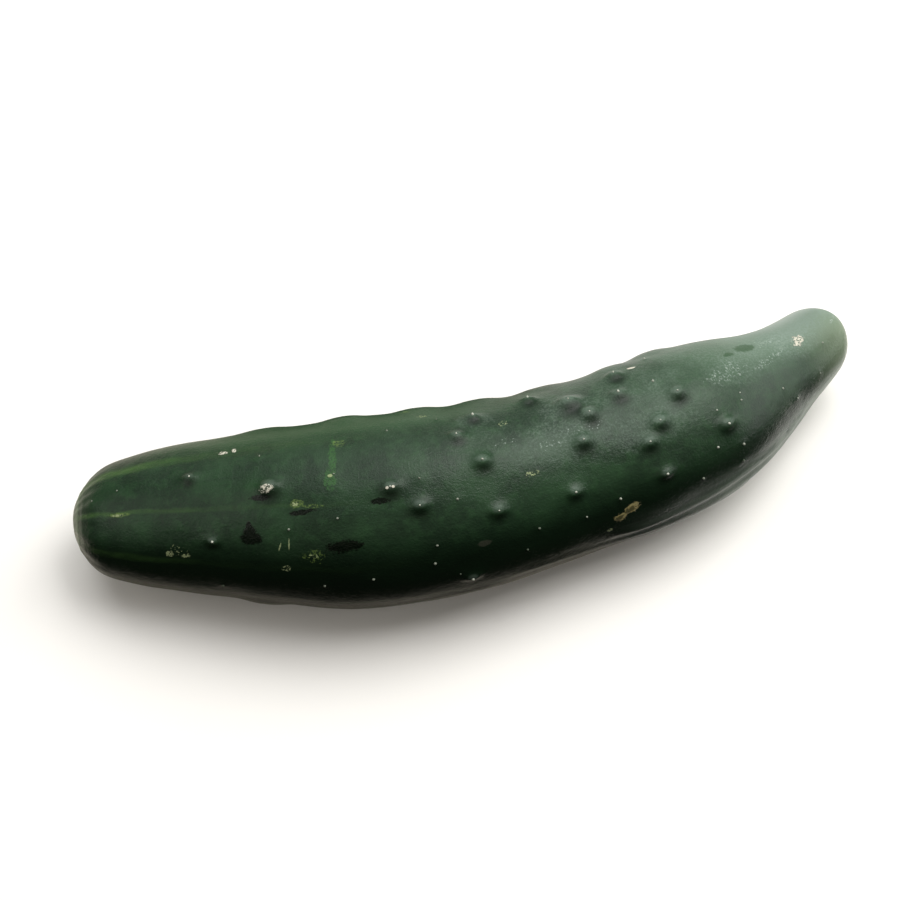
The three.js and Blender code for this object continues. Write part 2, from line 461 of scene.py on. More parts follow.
# the heading is followed in fine steps, and every so many of them one point is set down
middles = np.arange(0, stations[-1], FINE_STEP) + FINE_STEP / 2
heading = along(BEND, np.minimum(middles, LENGTH)) * RADIANS
strides = np.stack([np.cos(heading), np.sin(heading)], -1) * FINE_STEP
track = np.concatenate([[[0, 0]], np.cumsum(strides, 0)])
for point, station in zip(path.points, stations):
    x, y = track[int(round(station / FINE_STEP))] * MM
    point.co = (x, y, 0, 1)
path.order_u = 4
path.use_endpoint_u = True
middle_line = bpy.data.objects.new("middle_line", line)
bpy.context.scene.collection.objects.link(middle_line)
print("the middle line has", len(path.points), "points")


# %% Lay a piece down
def centre_height(distance):
    """Height of the middle line above the table, in mm."""
    underside = along(GIRTH, distance) * (1 + LOBE * math.cos(LOBES * math.pi))
    return underside + lift(distance) - FLAT_DEPTH


def pick(piece, wanted):
    """Opens a piece in edit mode with only the vertices selected that pass a test."""
    only(piece)
    bpy.ops.object.mode_set(mode="EDIT")
    bpy.ops.mesh.select_all(action="DESELECT")
    bpy.ops.object.mode_set(mode="OBJECT")
    for vertex in piece.data.vertices:
        vertex.select = wanted(vertex.co)
    bpy.ops.object.mode_set(mode="EDIT")


def lay_down(piece):
    """Lifts a straight piece to its height, bends it and presses its underside flat."""
    places = np.empty(len(piece.data.vertices) * 3, np.float32)
    piece.data.vertices.foreach_get("co", places)
    distance = np.clip(places.reshape(-1, 3)[:, 0] / MM, 0, LENGTH)
    height = centre_height(distance)
    displace(piece, height / height.max(), float(height.max()), "Z")
    bender = piece.modifiers.new("bender", "CURVE")
    bender.object = middle_line
    bender.deform_axis = "POS_X"
    only(piece)
    bpy.ops.object.modifier_apply(modifier=bender.name)
    pick(piece, lambda spot: spot.z < 0)
    bpy.ops.transform.resize(value=(1, 1, 0), center_override=(0, 0, 0))
    bpy.ops.object.mode_set(mode="OBJECT")


lay_down(fruit)
low = np.array([min(v.co[k] for v in mesh.vertices) for k in range(3)])
high = np.array([max(v.co[k] for v in mesh.vertices) for k in range(3)])
print("bent fruit's box in mm:", ((high - low) / MM).round(1))

# %% Put it where the frame has it
shift = (cad_low + cad_high) / 2 - Vector((low + high) / 2)
shift.z = 0


def settle(piece):
    """Moves a bent piece to the frame's place for it."""
    only(piece)
    bpy.ops.object.mode_set(mode="EDIT")
    bpy.ops.mesh.select_all(action="SELECT")
    bpy.ops.transform.translate(value=shift)
    bpy.ops.object.mode_set(mode="OBJECT")
    bpy.ops.object.shade_smooth()
    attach(piece, "root")


settle(fruit)
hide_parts("cucumber")
print("moved by, mm:", (shift / MM)[:])

# %% [markdown]
# ## Spine stubs
# Each wart carries a spine. On a picked fruit the spines have rubbed off, and a pale stub less
# than a millimetre wide is left. One stub is modelled and copied to every wart and pimple of the
# straight fruit, and all of them are then bent with the same curve as the skin.

# %% One stub
STUB_RADIUS = 0.33
# where the spine broke off: how far the top is drawn out, and how much wider it is
STUB_TOP = 0.1
STUB_FLARE = 1.3
bpy.ops.object.select_all(action="DESELECT")
bpy.ops.mesh.primitive_uv_sphere_add(segments=8, ring_count=6, radius=STUB_RADIUS * MM)
stub = bpy.context.object
stub.name = "stub"
pick(stub, lambda spot: spot.z > 0.8 * STUB_RADIUS * MM)
bpy.ops.transform.translate(value=(0, 0, STUB_TOP * MM))
bpy.ops.transform.resize(value=(STUB_FLARE, STUB_FLARE, 1))
bpy.ops.mesh.select_all(action="SELECT")
bpy.ops.mesh.normals_make_consistent(inside=False)
bpy.ops.object.mode_set(mode="OBJECT")
print("a stub has", len(stub.data.polygons), "faces")


# %% [markdown]
# ## Seating the stubs
# Every copy is turned to point out of the skin and sunk a little into it, and no two have quite
# the same size. A stub on a wart is fresh and pale. A pimple's stub is darker on the blossom half,
# where it is worn, and low down, where the darkening is painted shade. Each copy keeps how dark it
# is in an attribute.

# %% A stub on every wart
STUB_SEAT = 0.16
STUB_SMALLEST, STUB_SPREAD = 0.8, 0.45


def skin_place(distance, round_):
    """A point of the straight fruit's raised skin, and the direction that points out of it."""
    reach = float(along(GIRTH, distance) * capped(distance))
    reach += float(relief([distance], [round_], [reach])[0])
    angle = round_ * RADIANS
    out = Vector((0, -math.sin(angle), math.cos(angle)))
    return Vector((distance, 0, 0)) + out * reach, out


def wear_and_shade(distance, round_):
    """How dark a pimple's stub is, from 0 to 1: worn on the blossom half, painted shade low down.
    """
    # painted shade: a stub low down is darkened as the shaded low side is
    low_down_shade = 0.1 + 0.72 * ease(50, 74, round_)
    blossom_half = 0.6 * ease(175, 140, distance)
    return max(low_down_shade, blossom_half)


stubs = []
for index, (distance, round_, *size) in enumerate(ALL_WARTS + PIMPLES):
    place, out = skin_place(distance, round_)
    copy = stub.copy()
    copy.data = stub.data.copy()
    copy.scale = [STUB_SMALLEST + STUB_SPREAD * (math.sin(index * 7.3) * 0.5 + 0.5)] * 3
    copy.rotation_euler = out.to_track_quat("Z", "Y").to_euler()
    copy.location = (place - out * STUB_SEAT) * MM
    worn_and_shaded = 0.0 if size else wear_and_shade(distance, round_)
    fade = copy.data.attributes.new("worn_and_shaded", "FLOAT", "POINT")
    fade.data.foreach_set("value", np.full(len(copy.data.vertices), worn_and_shaded, np.float32))
    bpy.context.scene.collection.objects.link(copy)
    stubs.append(copy)
bpy.data.objects.remove(stub)
bpy.ops.object.select_all(action="DESELECT")
for copy in stubs:
    copy.select_set(True)
bpy.context.view_layer.objects.active = stubs[0]
bpy.ops.object.transform_apply(location=True, rotation=True, scale=True)
bpy.ops.object.join()
spines = bpy.context.object
spines.name = "spine_stubs"
keep_straight(spines)
lay_down(spines)
settle(spines)
bpy.data.objects.remove(middle_line)
print(len(stubs), "stubs,", len(spines.data.polygons), "faces")

# %% [markdown]
# ## Tools for materials
# A few short helpers keep the material cells readable: one adds a node, one does arithmetic, one
# makes a soft step and one mixes colours. A value may be a number or another node's socket.

# %% Node helpers
def plug(tree, socket, value):
    """Links a socket to an input, or sets the input to a number or a colour."""
    if isinstance(value, bpy.types.NodeSocket):
        tree.links.new(value, socket)
    elif isinstance(value, tuple) and len(value) == 3 and socket.type == "RGBA":
        socket.default_value = (*value, 1)
    else:
        socket.default_value = value


def add(tree, kind, inputs=None, **settings):
    """Adds a node, with its settings and its inputs by name or number."""
    node = tree.nodes.new("ShaderNode" + kind)
    for name, value in settings.items():
        setattr(node, name, value)
    for name, value in (inputs or {}).items():
        plug(tree, node.inputs[name], value)
    return node


def do(tree, operation, first, second=0.0, third=0.0):
    """One sum on numbers."""
    return add(tree, "Math", {0: first, 1: second, 2: third}, operation=operation).outputs[0]


def step(tree, value, low, high):
    """0 below low, 1 above high, and smooth between them. High may be the lower one."""
    inputs = {"Value": value, "From Min": low, "From Max": high}
    if high < low:
        inputs = {"Value": value, "From Min": high, "From Max": low, "To Min": 1.0, "To Max": 0.0}
    return add(tree, "MapRange", inputs, interpolation_type="SMOOTHSTEP").outputs[0]


def mix(tree, share, first, second):
    """Two colours mixed: a share of 0 is the first, 1 the second."""
    node = add(tree, "Mix", data_type="RGBA")
    plug(tree, node.inputs["Factor"], share)
    plug(tree, node.inputs[6], first)
    plug(tree, node.inputs[7], second)
    return node.outputs[2]


def grain(tree, vector, scale, detail=2.0, roughness=0.5):
    """Noise between 0 and 1, with features of about 1 / scale."""
    inputs = {"Vector": vector, "Scale": scale, "Detail": detail, "Roughness": roughness}
    return add(tree, "TexNoise", inputs, normalize=True).outputs["Fac"]


def new_group(name, inputs, outputs):
    """An empty node group with these sockets: Straight is a vector, and the rest are numbers."""
    group = bpy.data.node_groups.new(name, "ShaderNodeTree")
    for side, sockets in (("INPUT", inputs), ("OUTPUT", outputs)):
        for socket in sockets:
            kind = "NodeSocketVector" if socket == "Straight" else "NodeSocketFloat"
            group.interface.new_socket(name=socket, in_out=side, socket_type=kind)
    enter = group.nodes.new("NodeGroupInput")
    leave = group.nodes.new("NodeGroupOutput")
    return group, enter.outputs, leave.inputs


def place(tree, group, **inputs):
    """Puts a group in a material. Its inputs are named in lower case."""
    node = add(tree, "Group", node_tree=group)
    for name, value in inputs.items():
        plug(tree, node.inputs[name.capitalize()], value)
    return node.outputs


# %% [markdown]
# ## Where on the fruit
# Stripes and marks are placed by distance along the fruit and angle round it. This group works
# both out from the straight coordinates, with the skin's distance from the axis, in millimetres.

# %% The place group
place_group, _, leave = new_group("place_on_fruit", [], ["Straight", "Along", "Round", "Reach"])
tree = place_group
stored = add(tree, "Attribute", attribute_name="straight", attribute_type="GEOMETRY")
straight = add(tree, "VectorMath", {0: stored.outputs["Vector"]}, operation="SCALE")
straight.inputs["Scale"].default_value = 1 / MM
parts = add(tree, "SeparateXYZ", {0: straight.outputs[0]}).outputs
backwards = do(tree, "MULTIPLY", parts[1], -1.0)
angle = do(tree, "ARCTAN2", backwards, parts[2])
across = do(tree, "MULTIPLY", parts[1], parts[1])
reach = do(tree, "SQRT", do(tree, "MULTIPLY_ADD", parts[2], parts[2], across))
plug(tree, leave["Straight"], straight.outputs[0])
plug(tree, leave["Along"], parts[0])
plug(tree, leave["Round"], do(tree, "DEGREES", angle))
plug(tree, leave["Reach"], reach)

# %% [markdown]
# ## Stripes
# A pale line runs down each groove between two ribs, wandering a little. It could be painted by
# hand, but as a group with an angle and a width it is drawn once and placed nine times. How far
# along the fruit the lines show is settled later, in the skin.

# %% The stripe group
STRIPE_WANDER = 3.0
stripe_group, enter, leave = new_group(
    "stripe", ["Round", "Reach", "Grain", "Angle", "Width"], ["Mask"]
)
tree = stripe_group
off = do(tree, "SUBTRACT", enter["Round"], enter["Angle"])
off = do(tree, "WRAP", off, 180.0, -180.0)
off = do(tree, "MULTIPLY", do(tree, "RADIANS", off), enter["Reach"])
wander = do(tree, "MULTIPLY", do(tree, "SUBTRACT", enter["Grain"], 0.5), STRIPE_WANDER)
off = do(tree, "ABSOLUTE", do(tree, "ADD", off, wander))
part = do(tree, "DIVIDE", off, enter["Width"])
plug(tree, leave["Mask"], step(tree, part, 1.0, 0.1))
print("a stripe reads", len(enter) - 1, "inputs")

# %% [markdown]
# ## Marks
# Scabs, flecks, damp spots and scuffs are all small islands on the skin with a ragged edge, so
# one group draws them: an ellipse at a place on the fruit, turned, whose edge is torn by noise.
# The more holes it has, the more of it is broken up into flecks.

# %% The mark group
mark_group, enter, leave = new_group(
    "mark",
    [
        "Along", "Round", "Reach", "Grain", "Flecks", "At", "Angle", "Length", "Width", "Turn",
        "Ragged", "Holes",
    ],
    ["Mask"],
)
tree = mark_group
ahead = do(tree, "SUBTRACT", enter["Along"], enter["At"])
side = do(tree, "WRAP", do(tree, "SUBTRACT", enter["Round"], enter["Angle"]), 180.0, -180.0)
side = do(tree, "MULTIPLY", do(tree, "RADIANS", side), enter["Reach"])
flat = add(tree, "CombineXYZ", {0: ahead, 1: side}).outputs[0]
turned = add(tree, "VectorRotate", {"Vector": flat}, rotation_type="Z_AXIS")
plug(tree, turned.inputs["Angle"], do(tree, "RADIANS", enter["Turn"]))
size = add(tree, "CombineXYZ", {0: enter["Length"], 1: enter["Width"], 2: 1.0}).outputs[0]
shaped = add(tree, "VectorMath", {0: turned.outputs[0], 1: size}, operation="DIVIDE")
away = add(tree, "VectorMath", {0: shaped.outputs[0]}, operation="LENGTH").outputs["Value"]
torn = do(tree, "MULTIPLY", do(tree, "SUBTRACT", enter["Grain"], 0.5), enter["Ragged"])
island = step(tree, do(tree, "ADD", away, torn), 1.2, 0.75)
solid = do(tree, "SUBTRACT", enter["Flecks"], enter["Holes"])
plug(tree, leave["Mask"], do(tree, "MULTIPLY", island, step(tree, solid, 0.0, 0.07)))
print("a mark reads", len(enter) - 1, "inputs")

# %% [markdown]
# ## Where the marks are
# A fruit that grew on the ground is full of small marks: dry scabs, pale flecks, yellow and
# bright green patches, dark damp spots, a corky crack with a dark core, rubbed places and patches
# of thicker bloom. They are listed here by kind, because each kind gets a colour of its own.

# %% Marks on the skin
# kind: (along, round, half length, half width, turn, raggedness, holes)
MARKS = {
    "scab": [
        (62.5, 12.5, 1.85, 1.1, 0, 2.2, 0.4), (236.5, 3.5, 2.0, 1.7, 30, 2.6, 0.4),
        (178, -34, 1.5, 0.5, -8, 0.5, 0), (47.6, -20.5, 1.2, 0.7, 0, 1.4, 0.4),
        (50.8, -22, 0.6, 0.9, 20, 1, 0.35), (95.2, 16.5, 0.45, 0.4, 0, 0.4, 0),
        (96.8, 16.2, 0.45, 0.4, 0, 0.4, 0),
    ],
    "pale": [
        (33.6, 57, 1.3, 0.8, 0, 2, 0.42), (38.6, 57.5, 1.4, 0.7, 10, 2, 0.42),
        (36.5, 53.5, 3.2, 1.4, 0, 2.8, 0.6), (68, 63, 1.2, 0.9, 0, 2, 0.5),
        (132, -14, 1.9, 0.8, 10, 1.5, 0.53), (134.5, 23, 2.2, 0.7, 0, 2.2, 0.5),
        (154, 80, 0.9, 0.6, 0, 0.8, 0.45), (66.5, 48, 0.2, 1.2, -15, 0.6, 0.35),
        (69, 46.5, 0.2, 1.6, 0, 0.8, 0.35), (80, 6, 0.7, 0.5, 0, 0.4, 0.3),
        (109, -36, 1.6, 0.8, 0, 2, 0.5), (17.6, 25.3, 1.9, 0.35, 0, 0.8, 0.42),
        (70.5, 22, 0.9, 0.6, 0, 1, 0.45), (75.5, 54, 1.2, 0.7, 0, 1.5, 0.52),
    ],
    "scuff": [
        # the scuff at 252 mm is a painted highlight: thin bright streaks near the stem end
        (221, 7.5, 7.5, 1.0, 9, 2.6, 0.53), (252, 8, 2, 0.6, 20, 2, 0.5),
        (228, -14, 6, 1.4, 0, 3, 0.57), (206.5, 3, 0.5, 3.4, 0, 2, 0.5),
        (203, 5, 7, 2.2, 0, 3, 0.57), (154, 4, 6, 1.4, 0, 3, 0.6), (143, 8, 4, 1.4, 0, 3, 0.6),
        (131, 0, 3, 1.2, 0, 3, 0.6),
    ],
    "yellow": [
        (18, 25, 3.0, 0.7, 0, 1.4, 0.4), (71, 22, 1.7, 1.3, 0, 2.6, 0.4),
        (75.5, 23.5, 2.8, 0.5, 0, 1.6, 0.46), (75.5, 54, 2.5, 1.9, 0, 3.2, 0.5),
        (82, -17, 2.0, 1.2, 0, 3, 0.45), (104, -48, 1.6, 1, 0, 2.6, 0.46),
    ],
    "green": [(80.5, -6, 1.0, 7, 3, 2.6, 0.38), (80, 8, 1.7, 3, 0, 2.4, 0.38)],
    "damp": [
        (57.6, 35.5, 0.9, 1.7, 6, 0.5, 0), (57.9, 39, 1.9, 2.0, 0, 0.6, 0),
        (58.3, 43, 3.3, 1.9, 0, 0.8, 0),
        (83.5, 48, 4.8, 1.9, 6, 1.6, 0), (72, 27, 3.6, 0.8, 8, 1.6, 0),
        (60.5, 17.5, 3, 0.8, 0, 1.4, 0), (93, 23, 2.6, 0.9, 0, 1.4, 0),
    ],
    "shade": [(217, -14.5, 4.2, 1.8, 0, 0.9, 0), (209, -11, 2, 0.8, 0, 1.4, 0)],
    "cork": [(157.5, 71, 1.9, 1.4, 10, 1.8, 0.34), (161, 66.5, 2.3, 1.5, 20, 1.8, 0.34)],
    "core": [(157.1, 71.5, 1.2, 0.8, 10, 2.4, 0), (160.4, 67.4, 1.5, 0.7, 20, 2.6, 0)],
    "dull": [(118, 58, 1.8, 1.0, 0, 0.7, 0)],
    "bloom": [
        (209, 3, 12, 5.5, 0, 1.8, 0), (151, -15, 7, 5, 0, 1.8, 0), (148, 8, 15, 6, 0, 2.4, 0),
        (124, -22, 6, 3, 0, 2, 0), (235, 0, 9, 6, 0, 2.4, 0), (172, 18, 12, 5, 0, 2.4, 0),
    ],
}
print("marks on the skin:", sum(len(marks) for marks in MARKS.values()))

# %% [markdown]
# ## The skin's grain
# Skin is uneven at several sizes at once. Each size is one noise, made here and used many times:
# patchy is some 15 mm across, mottled 4 mm, torn_edge 1 mm and fine less than that. The streaky
# one is squeezed, so that its features run lengthwise.

# %% Grain and masks
skin = bpy.data.materials.new("cucumber_skin")
skin.use_nodes = True
tree = skin.node_tree
shader = tree.nodes["Principled BSDF"]
here = place(tree, place_group)
straight, distance, round_, reach = (here[name] for name in ("Straight", "Along", "Round", "Reach"))
torn_edge = grain(tree, straight, 0.9, detail=3.0, roughness=0.65)
patchy = grain(tree, straight, 0.07, detail=3.0, roughness=0.6)
fine = grain(tree, straight, 1.5, detail=2.0, roughness=0.7)
speckle = step(tree, fine, 0.4, 0.66)
mottled = grain(tree, straight, 0.26, detail=4.0, roughness=0.65)
wart = add(tree, "Attribute", attribute_name="wart", attribute_type="GEOMETRY").outputs["Fac"]
wart_highlight = step(tree, wart, 0.5, 0.95)
foot = add(tree, "Attribute", attribute_name="wart_shade", attribute_type="GEOMETRY")
wart_shade = do(tree, "MULTIPLY", foot.outputs["Fac"], step(tree, wart, 0.8, 0.3))
lengthwise = add(tree, "VectorMath", {0: straight, 1: (0.12, 1.0, 1.0)}, operation="MULTIPLY")
streaky = grain(tree, lengthwise.outputs[0], 0.55, detail=3.0, roughness=0.6)


def strongest(found):
    """One mask of several: the strongest of them at each spot."""
    total = found[0]
    for mask in found[1:]:
        total = do(tree, "MAXIMUM", total, mask)
    return total


def all_marks(kind):
    """One mask of every mark of a kind."""
    found = []
    for at, angle, length, width, turn, ragged, holes in MARKS[kind]:
        mark = place(
            tree, mark_group, along=distance, round=round_, reach=reach, grain=torn_edge,
            flecks=fine, at=at, angle=angle, length=length, width=width, turn=turn,
            ragged=ragged, holes=holes,
        )
        found.append(mark["Mask"])
    return strongest(found)


def all_stripes():
    """One mask of every stripe."""
    found = []
    for angle, width, strength in STRIPES:
        stripe = place(
            tree, stripe_group, round=round_, reach=reach, grain=patchy, angle=angle, width=width
        )
        found.append(do(tree, "MULTIPLY", stripe["Mask"], strength))
    return strongest(found)


masks = {kind: all_marks(kind) for kind in MARKS}
print("masks:", ", ".join(masks))

# %% [markdown]
# ## Colours of the skin
# Dark green, paler and greyer towards the neck, where a waxy bloom is thickest. The paler neck
# colour lies on the lit top, so it is partly the neck's own colour and partly painted sheen. The
# colour is built up as a painter would, one coat over the other, each with its own mask and
# strength. First come the ground colours: patches, a nearly black low side, which is painted
# shade, a greener band and pale ends; the blossom end's paleness is partly painted sheen.

# %% Ground colours
DEEP = (0.010, 0.025, 0.012)
PAINTED_SHADE = (0.003, 0.008, 0.0035)
LEAF = (0.019, 0.050, 0.021)
BAND = (0.025, 0.068, 0.026)
STRIPE = (0.05, 0.115, 0.028)
BLOOM = (0.19, 0.25, 0.205)
NECK = (0.085, 0.15, 0.09)
TIP = (0.19, 0.25, 0.16)
WAX = (0.46, 0.50, 0.46)
FLANK_REFLECTION = (0.26, 0.3, 0.25)
SCAB = (0.60, 0.58, 0.48)
PALE = (0.36, 0.42, 0.22)
SCUFF = (0.42, 0.48, 0.44)
YELLOW = (0.20, 0.30, 0.07)
GREEN = (0.036, 0.125, 0.026)
DAMP = (0.0008, 0.0022, 0.0008)
CORK = (0.33, 0.28, 0.12)
CORK_CORE = (0.05, 0.05, 0.02)
DULL = (0.034, 0.038, 0.026)


def over(share, masked, paint):
    """Paints the skin with a colour, as strongly as a mask and a share say."""
    return mix(tree, do(tree, "MULTIPLY", masked, share), colour, paint)


def times(first, second):
    """The product of two masks, in the finish being made."""
    return do(tree, "MULTIPLY", first, second)


def part_of(masked, more, least):
    """A mask that is least where it was 0, and least + more where it was 1."""
    return do(tree, "MULTIPLY_ADD", masked, more, least)


def around(centre, full, none):
    """1 up to an angle away from a place round the fruit, 0 further off than another."""
    off = do(tree, "WRAP", do(tree, "SUBTRACT", round_, centre), 180.0, -180.0)
    return step(tree, do(tree, "ABSOLUTE", off), none, full)


lit_top = around(-24.0, 12.0, 58.0)
colour = mix(tree, step(tree, patchy, 0.35, 0.7), DEEP, LEAF)
colour = over(0.5, step(tree, mottled, 0.45, 0.7), BAND)
colour = over(0.3, speckle, LEAF)
colour = over(0.4, step(tree, streaky, 0.5, 0.8), DEEP)
# painted shade: the low front side, which lies in shade, is painted nearly black
shaded_low_side = around(96.0, 30.0, 60.0)
colour = over(0.92, shaded_low_side, PAINTED_SHADE)
band_length = times(step(tree, distance, 20.0, 50.0), step(tree, distance, 170.0, 100.0))
colour = over(0.85, times(band_length, around(-44.0, 10.0, 26.0)), BAND)
# partly painted light: the paler neck colour lies on the lit top and is kept off the shaded front
neck_share = times(step(tree, distance, 150.0, 246.0), part_of(lit_top, 0.93, 0.07))
colour = over(0.9, neck_share, NECK)
colour = over(0.8, step(tree, distance, 230.0, 256.0), TIP)
# the blossom end is paler: partly its own colour, partly painted sheen
colour = over(0.5, step(tree, distance, 7.0, 1.0), TIP)
rim = step(tree, do(tree, "ABSOLUTE", do(tree, "SUBTRACT", distance, 3.2)), 0.7, 0.1)
colour = over(0.6, rim, TIP)

# %% [markdown]
# ## Stripes in the skin
# The stripes are strongest near the blossom end, fade before the middle, and are broken up by
# the streaky grain.

# %% Stripe colour
near_end = times(step(tree, distance, 60.0, 14.0), 0.8)
further_on = times(step(tree, distance, 120.0, 40.0), 0.2)
fading = do(tree, "MAXIMUM", near_end, further_on)
broken = part_of(step(tree, streaky, 0.3, 0.65), 0.7, 0.3)
colour = over(1.0, times(times(all_stripes(), fading), broken), STRIPE)

# %% [markdown]
# ## Bloom
# The bloom is what makes a cucumber look dusty: a thin coat of wax, bluish and rough. It grows
# thicker towards the neck, is kept thin at each wart's foot, where its painted shade lies, and lies
# in streaks on the flank. It is laid on the lit top only, so it is real bloom and painted sheen
# together, and on the lower right flank a pale grey paint is a painted reflection. One value,
# bloom_and_sheen, says how much there is, and roughness reads it later too.

# %% Bloom and wax
# the bloom lies on the lit top only, so it is real bloom and painted sheen together
bloom_and_sheen = times(step(tree, distance, 60.0, 230.0), lit_top)
bloom_and_sheen = times(bloom_and_sheen, part_of(step(tree, patchy, 0.3, 0.7), 0.24, 0.07))
bloom_and_sheen = do(tree, "MULTIPLY_ADD", masks["bloom"], 0.12, bloom_and_sheen)
bloom_and_sheen = times(bloom_and_sheen, part_of(speckle, 1.0, 0.5))
# a painted reflection: pale paint along the lower right flank stands for the bright surroundings
# shining in it, and it is counted as bloom too
flank = times(step(tree, distance, 150.0, 210.0), around(106.0, 12.0, 40.0))
flank = times(flank, step(tree, distance, 266.0, 234.0))
flank = times(flank, part_of(step(tree, streaky, 0.3, 0.7), 0.5, 0.5))
bloom_and_sheen = do(tree, "MULTIPLY_ADD", flank, 0.4, bloom_and_sheen)
waxy_neck = times(step(tree, distance, 200.0, 248.0), around(-38.0, 12.0, 74.0))
bloom_and_sheen = do(tree, "MULTIPLY_ADD", waxy_neck, part_of(speckle, 0.25, 0.7), bloom_and_sheen)
# painted shade: the bloom is kept thin where each wart's painted shade lies
bloom_and_sheen = times(bloom_and_sheen, part_of(wart_shade, -0.8, 1.0))
colour = over(1.0, bloom_and_sheen, BLOOM)
# painted reflection on the lower right flank
colour = over(0.8, flank, FLANK_REFLECTION)
thick_wax = times(step(tree, distance, 212.0, 246.0), around(-64.0, 6.0, 44.0))
colour = over(0.6, thick_wax, WAX)

# %% [markdown]
# ## Warts and marks in colour
# Each wart has painted shade, a darker foot on its shaded side, and a painted highlight, a little
# bloom-coloured paint on its lit top. The marks come last, because they lie over everything else.

# %% Wart and mark colours
# painted shade at each wart's foot on its shaded side, and a painted highlight on its lit top
colour = over(0.85, wart_shade, PAINTED_SHADE)
colour = over(0.2, wart_highlight, BLOOM)
colour = over(0.5, masks["green"], GREEN)
colour = over(0.92, masks["damp"], DAMP)
colour = over(0.78, masks["shade"], BAND)
colour = over(0.34, masks["yellow"], YELLOW)
colour = over(0.9, masks["dull"], DULL)
colour = over(0.85, masks["cork"], CORK)
colour = over(0.85, masks["core"], CORK_CORE)
colour = over(0.7, masks["pale"], PALE)
colour = over(0.42, masks["scuff"], SCUFF)
colour = over(1.0, masks["scab"], SCAB)
plug(tree, shader.inputs["Base Color"], colour)

# %% [markdown]
# ## Gloss and fine relief
# Clean skin is satin and shines a little. Bloom and scabs are duller, damp spots glossier. A
# scab, a crack and the grain stand up by hundredths of a millimetre, which is too little for
# the mesh, so a Bump node gives them instead.

# %% Roughness and fine relief of the skin
rough = part_of(bloom_and_sheen, 0.4, 0.36)
rough = do(tree, "MULTIPLY_ADD", shaded_low_side, -0.14, rough)
rough = do(tree, "MULTIPLY_ADD", masks["damp"], -0.1, rough)
rough = do(tree, "MULTIPLY_ADD", masks["scab"], 0.2, rough)
plug(tree, shader.inputs["Roughness"], rough)
shader.inputs["Specular IOR Level"].default_value = 0.22
raised = do(tree, "MULTIPLY_ADD", speckle, 0.04, times(streaky, 0.06))
raised = do(tree, "MULTIPLY_ADD", mottled, 0.28, raised)
raised = do(tree, "MULTIPLY_ADD", masks["scab"], 0.25, raised)
raised = do(tree, "MULTIPLY_ADD", masks["cork"], 0.15, raised)
raised = do(tree, "MULTIPLY_ADD", masks["pale"], 0.06, raised)
bump = add(tree, "Bump", {"Height": raised, "Distance": MM, "Strength": 0.8})
plug(tree, shader.inputs["Normal"], bump.outputs[0])
fruit.data.materials.append(skin)
print("the skin has", len(tree.nodes), "nodes")

# %% [markdown]
# ## The stubs' own finish
# A dry spine stub is pale and matt, with darker blotches, and a worn one is nearly as dark as
# the skin. One low down is darkened too, which is painted shade. The attribute that each copy
# kept says how dark it is.

# %% The stubs' finish
STUB_PALE = (0.52, 0.54, 0.46)
STUB_DARK = (0.05, 0.07, 0.04)
stub_white = bpy.data.materials.new("spine_stub")
stub_white.use_nodes = True
tree = stub_white.node_tree
shader = tree.nodes["Principled BSDF"]
here = place(tree, place_group)
blotch = grain(tree, here["Straight"], 0.35, detail=1.0)
worn_and_shaded = add(tree, "Attribute", attribute_name="worn_and_shaded", attribute_type="GEOMETRY").outputs["Fac"]
worn_and_shaded = do(tree, "MULTIPLY_ADD", step(tree, blotch, 0.65, 0.35), 0.35, worn_and_shaded)
plug(tree, shader.inputs["Base Color"], mix(tree, worn_and_shaded, STUB_PALE, STUB_DARK))
plug(tree, shader.inputs["Roughness"], do(tree, "MULTIPLY_ADD", blotch, 0.3, 0.3))
spines.data.materials.append(stub_white)
print("finishes:", skin.name, "and", stub_white.name)

# %% [markdown]
# ## The table
# A plain white table would light the fruit from below all round and turn its low side grey. So
# the table looks white to the camera, but the light that it gives back is set by place: almost
# none from its near part, up to a few millimetres before the fruit, and from a patch beyond it,
# and most of it from the rest. The Light Path node tells the camera's view from the light.

# %% The table
TABLE_SIZE = 1.6
TABLE_WHITE = (0.93, 0.915, 0.885)
GIVEN_BACK_LEFT = (0.74, 0.70, 0.59)
GIVEN_BACK_RIGHT = (1.0, 0.98, 0.94)
GIVEN_BACK_LEAST = (0.02, 0.02, 0.018)
# The line along the fruit's near side is a parabola, in metres: how strongly it bends, where
# light starts to be given back and where fully, and how much nearer the line lies at the neck.
EDGE_BEND = 2.6
EDGE_START, EDGE_FULL = -0.052, -0.038
NECK_SHIFT = 0.025
# the patch beyond the fruit: its middle and its half sizes, in metres
PATCH_X, PATCH_Y = -0.022, 0.09
PATCH_LONG, PATCH_WIDE = 0.062, 0.05
bpy.ops.mesh.primitive_plane_add(size=TABLE_SIZE)
table = bpy.context.object
table.name = "table"
white = bpy.data.materials.new("table_white")
white.use_nodes = True
tree = white.node_tree
shader = tree.nodes["Principled BSDF"]
shader.inputs["Roughness"].default_value = 0.9
shader.inputs["Specular IOR Level"].default_value = 0.0
seen = add(tree, "LightPath").outputs["Is Camera Ray"]
spot = add(tree, "TexCoord").outputs["Object"]
spot = add(tree, "SeparateXYZ", {0: spot}).outputs
past_edge = do(tree, "MULTIPLY_ADD", times(spot[0], spot[0]), -EDGE_BEND, spot[1])
past_edge = do(tree, "MULTIPLY_ADD", step(tree, spot[0], 0.04, 0.09), NECK_SHIFT, past_edge)
past_edge = step(tree, past_edge, EDGE_START, EDGE_FULL)
patch_x = do(tree, "DIVIDE", do(tree, "SUBTRACT", spot[0], PATCH_X), PATCH_LONG)
patch_y = do(tree, "DIVIDE", do(tree, "SUBTRACT", spot[1], PATCH_Y), PATCH_WIDE)
